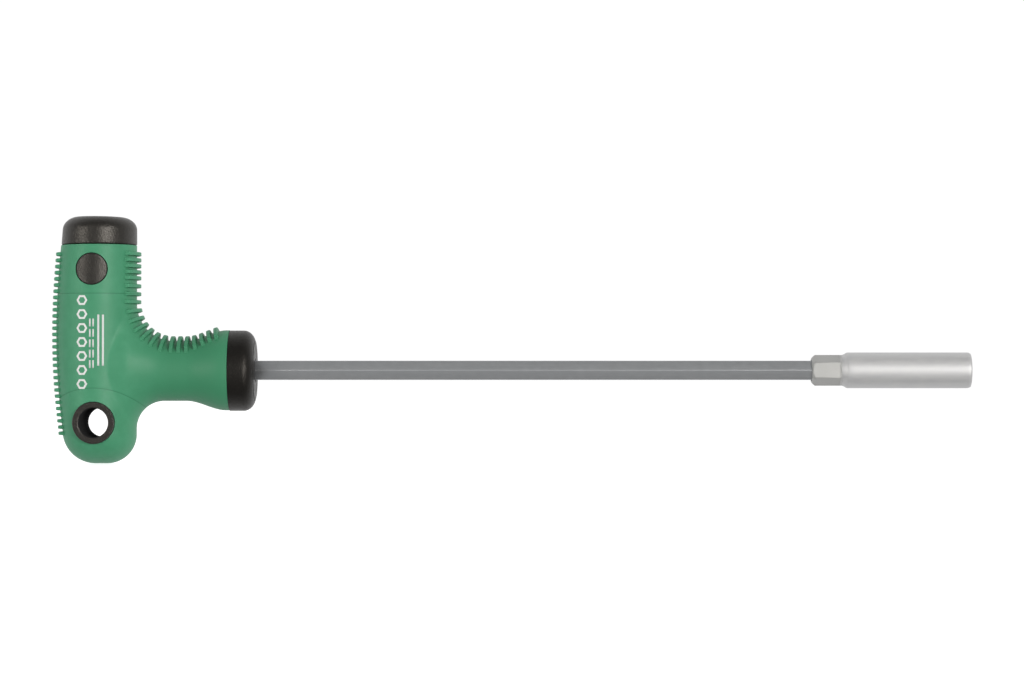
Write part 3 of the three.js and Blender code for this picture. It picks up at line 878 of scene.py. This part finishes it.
def nut_socket():
    """Loft from the rod's seat, round the outside, and back down the nut's opening."""
    segments = 288
    turn = np.arange(segments) / segments * 2 * math.pi
    s = SOCKET
    flat_edge = hex_radius(turn, s["flats"])
    nut = hex_radius(turn, s["nut_flats"])
    seat = hex_radius(turn + math.pi / 6, ROD_FLATS + 0.16)
    rings = [(ROD_ENDS[1] + 0.3, seat), (s["start"] + 0.3, seat), (s["start"], seat + 0.25)]

    def neck(limit):
        return np.minimum(flat_edge, limit)

    for t in np.linspace(0, 1, 10):
        limit = s["nose_radius"] + (s["neck_radius"] - s["nose_radius"]) * t
        rings.append((s["start"] + s["nose_length"] * t**1.4, neck(limit)))
    runout_start = s["flats_end"] - s["runout"]
    rings.append((runout_start, neck(s["neck_radius"])))
    for t in np.linspace(0, 1, 8):
        angle = t * math.pi / 2
        runout = flat_edge + (s["neck_radius"] - s["flats"] / 2) * (1 - math.cos(angle)) * 1.02
        x = runout_start + s["runout"] * math.sin(angle)
        rings.append((x, np.minimum(runout, s["neck_radius"])))
    throat = s["barrel_start"] - s["flats_end"]
    for t in np.linspace(0, 1, 14)[1:]:
        rise = (s["radius"] - 0.02 - s["neck_radius"]) * smoothstep(t**1.25, 0, 1)
        rings.append((s["flats_end"] + throat * t, np.full(segments, s["neck_radius"] + rise)))
    rings.append((s["barrel_start"] + 0.12, np.full(segments, s["radius"])))
    for x in np.linspace(s["barrel_start"] + 2, s["end"] - 2.6, 10):
        rings.append((x, np.full(segments, s["radius"])))
    for t in np.linspace(0, math.pi / 2, 12):
        x = s["end"] - s["edge_length"] + s["edge_length"] * math.sin(t)
        rings.append((x, np.full(segments, s["radius"] - s["edge_drop"] * (1 - math.cos(t)))))
    mouth = s["nut_flats"] / 2 + s["mouth_chamfer"]
    rings.append((s["end"] - 0.02, np.full(segments, mouth + 0.08)))
    for t in np.linspace(0, 1, 6):
        limit = mouth - s["mouth_chamfer"] * t
        rings.append((s["end"] - 0.08 - 0.8 * t, np.maximum(nut, limit)))
    rings.append((s["end"] - s["nut_depth"] + 0.05, nut))
    rings.append((s["end"] - s["nut_depth"], np.full(segments, s["stud_radius"])))
    rings.append((s["end"] - s["stud_depth"] + 1.0, np.full(segments, s["stud_radius"])))
    rings.append((s["end"] - s["stud_depth"], np.full(segments, s["stud_radius"] - 1.2)))
    sections = []
    for x, radius in rings:
        sections.append(np.stack([np.full(segments, x), radius * np.sin(turn), radius * np.cos(turn)], -1))
    return loft("nut_socket_fine", sections)


def sharp_by_angle(piece, degrees):
    """Marks edges sharper than an angle so that flats stay flat."""
    mesh = piece.data
    mesh.set_sharp_from_angle(angle=math.radians(degrees))


# ---- Stage ----
def make_camera():
    camera = bpy.data.objects.new("camera", bpy.data.cameras.new("camera"))
    camera.location = (0.0003, -1.030, 0.0255)
    target = Vector((0.0003, 0.0, 0.0392))
    camera.rotation_euler = (target - camera.location).to_track_quat("-Z", "Y").to_euler()
    camera.data.lens = 112.5
    camera.data.sensor_width = 36.0
    camera.data.clip_start = 0.01
    camera.data.clip_end = 50.0
    bpy.context.scene.collection.objects.link(camera)
    bpy.context.scene.camera = camera


def area_light(name, azimuth, elevation, distance, size, power, colour=(1, 1, 1)):
    """A soft box aimed at the tool's middle; azimuth is to the right of the camera, in degrees."""
    target = Vector((-0.06, 0.0, 0.035))
    a, e = math.radians(azimuth), math.radians(elevation)
    towards = Vector((math.sin(a) * math.cos(e), -math.cos(a) * math.cos(e), math.sin(e)))
    data = bpy.data.lights.new(name, "AREA")
    data.shape = "RECTANGLE"
    data.size, data.size_y = size
    data.energy = power
    data.color = colour
    light = bpy.data.objects.new(name, data)
    light.location = target + towards * distance
    light.rotation_euler = (-towards).to_track_quat("-Z", "Y").to_euler()
    light.visible_camera = False
    bpy.context.scene.collection.objects.link(light)


def make_world():
    """White surroundings that are darker overhead and underneath than in front and behind."""
    world = bpy.data.worlds.new("world")
    world.use_nodes = True
    bpy.context.scene.world = world
    tree = world.node_tree
    place = tree.nodes.new("ShaderNodeTexCoord").outputs["Generated"]
    seen = tree.nodes.new("ShaderNodeLightPath").outputs["Is Camera Ray"]
    split = tree.nodes.new("ShaderNodeSeparateXYZ")
    tree.links.new(place, split.inputs[0])
    height = tree.nodes.new("ShaderNodeMath")
    height.operation = "ABSOLUTE"
    tree.links.new(split.outputs["Z"], height.inputs[0])
    front = tree.nodes.new("ShaderNodeMath")
    front.operation = "MULTIPLY"
    front.inputs[1].default_value = -1
    tree.links.new(split.outputs["Y"], front.inputs[0])
    angle = tree.nodes.new("ShaderNodeMath")
    angle.operation = "ARCTAN2"
    tree.links.new(height.outputs[0], angle.inputs[0])
    tree.links.new(front.outputs[0], angle.inputs[1])
    share = tree.nodes.new("ShaderNodeMapRange")
    share.inputs["From Max"].default_value = math.pi
    tree.links.new(angle.outputs[0], share.inputs["Value"])
    ramp = tree.nodes.new("ShaderNodeValToRGB")
    tree.links.new(share.outputs["Result"], ramp.inputs["Fac"])
    stops = [(0.0, 0.44), (0.24, 0.38), (0.36, 0.18), (0.43, 0.2), (0.56, 0.72), (1.0, 0.92)]
    while len(ramp.color_ramp.elements) < len(stops):
        ramp.color_ramp.elements.new(0.5)
    for element, (position, level) in zip(ramp.color_ramp.elements, stops):
        element.position = position
        element.color = (level, level, level, 1)
    backdrop = tree.nodes.new("ShaderNodeMix")
    backdrop.data_type = "RGBA"
    tree.links.new(seen, backdrop.inputs["Factor"])
    tree.links.new(ramp.outputs["Color"], backdrop.inputs["A"])
    backdrop.inputs["B"].default_value = (1.02, 1.02, 1.02, 1)
    tree.links.new(backdrop.outputs["Result"], tree.nodes["Background"].inputs["Color"])


def make_floor():
    """A plain pale floor, lit from within so that it stays white."""
    half = 6.0
    mesh = bpy.data.meshes.new("floor")
    corners = [(-half, -half, 0), (half, -half, 0), (half, half, 0), (-half, half, 0)]
    mesh.from_pydata(corners, [], [(0, 1, 2, 3)])
    floor = bpy.data.objects.new("floor", mesh)
    floor.location.z = -0.0002
    bpy.context.scene.collection.objects.link(floor)
    material = bpy.data.materials.new("floor")
    material.use_nodes = True
    shader = material.node_tree.nodes["Principled BSDF"]
    shader.inputs["Base Color"].default_value = (0.8, 0.8, 0.8, 1)
    shader.inputs["Roughness"].default_value = 0.9
    shader.inputs["Emission Color"].default_value = (1, 1, 1, 1)
    shader.inputs["Emission Strength"].default_value = 0.75
    mesh.materials.append(material)
    floor.visible_diffuse = False
    floor.visible_glossy = False


def make_stage():
    make_camera()
    make_world()
    make_floor()
    area_light("key", 31, 1, 3.0, (0.9, 1.5), 75.0, (1.0, 0.985, 0.95))
    area_light("fill", -50, 1, 3.0, (0.8, 1.5), 30.0, (1.0, 0.975, 0.92))
    bpy.context.scene.view_settings.view_transform = "Standard"


# ---- Assembly ----
make_stage()
GREEN = green_rubber()
BLACK = black_plastic("hard_black", 1.05, 0.66)
# painted shade: the collar and plug get a copy of the hard black with its colour scaled to 0.6 and less
# gloss, so they read darker than the cap
COLLAR_BLACK_PAINTED_SHADE = black_plastic("hard_black_collar", 0.6, 0.34)
STEEL = rod_steel()
CHROME = satin_chrome()

dress(soft_grip(), GREEN, "soft_green", "soft_grip")
dress(end_cap(), BLACK, "hard_black", "end_cap")
dress(front_collar(), COLLAR_BLACK_PAINTED_SHADE, "hard_black", "front_collar")
dress(front_plug(), COLLAR_BLACK_PAINTED_SHADE, "hard_black", "front_plug")
dress(side_disc(-1, "side_disc_front_fine"), BLACK, "hard_black", "side_disc_front")
dress(side_disc(1, "side_disc_back_fine"), BLACK, "hard_black", "side_disc_back")
eye = dress(hanging_eye(), BLACK, "hard_black", "hanging_eye")
# the faces inside the hanging hole get painted shade
paint_bore_shade(eye, bore_painted_shade())
rod = dress(hex_rod(), STEEL, "rod_steel", "hex_rod")
sharp_by_angle(rod, 40)
socket = dress(nut_socket(), CHROME, "satin_chrome", "nut_socket")
sharp_by_angle(socket, 35)
dress(printed_marks(), white_ink(), None)
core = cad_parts["handle_core"]
core.data.materials.clear()
core.data.materials.append(BLACK)
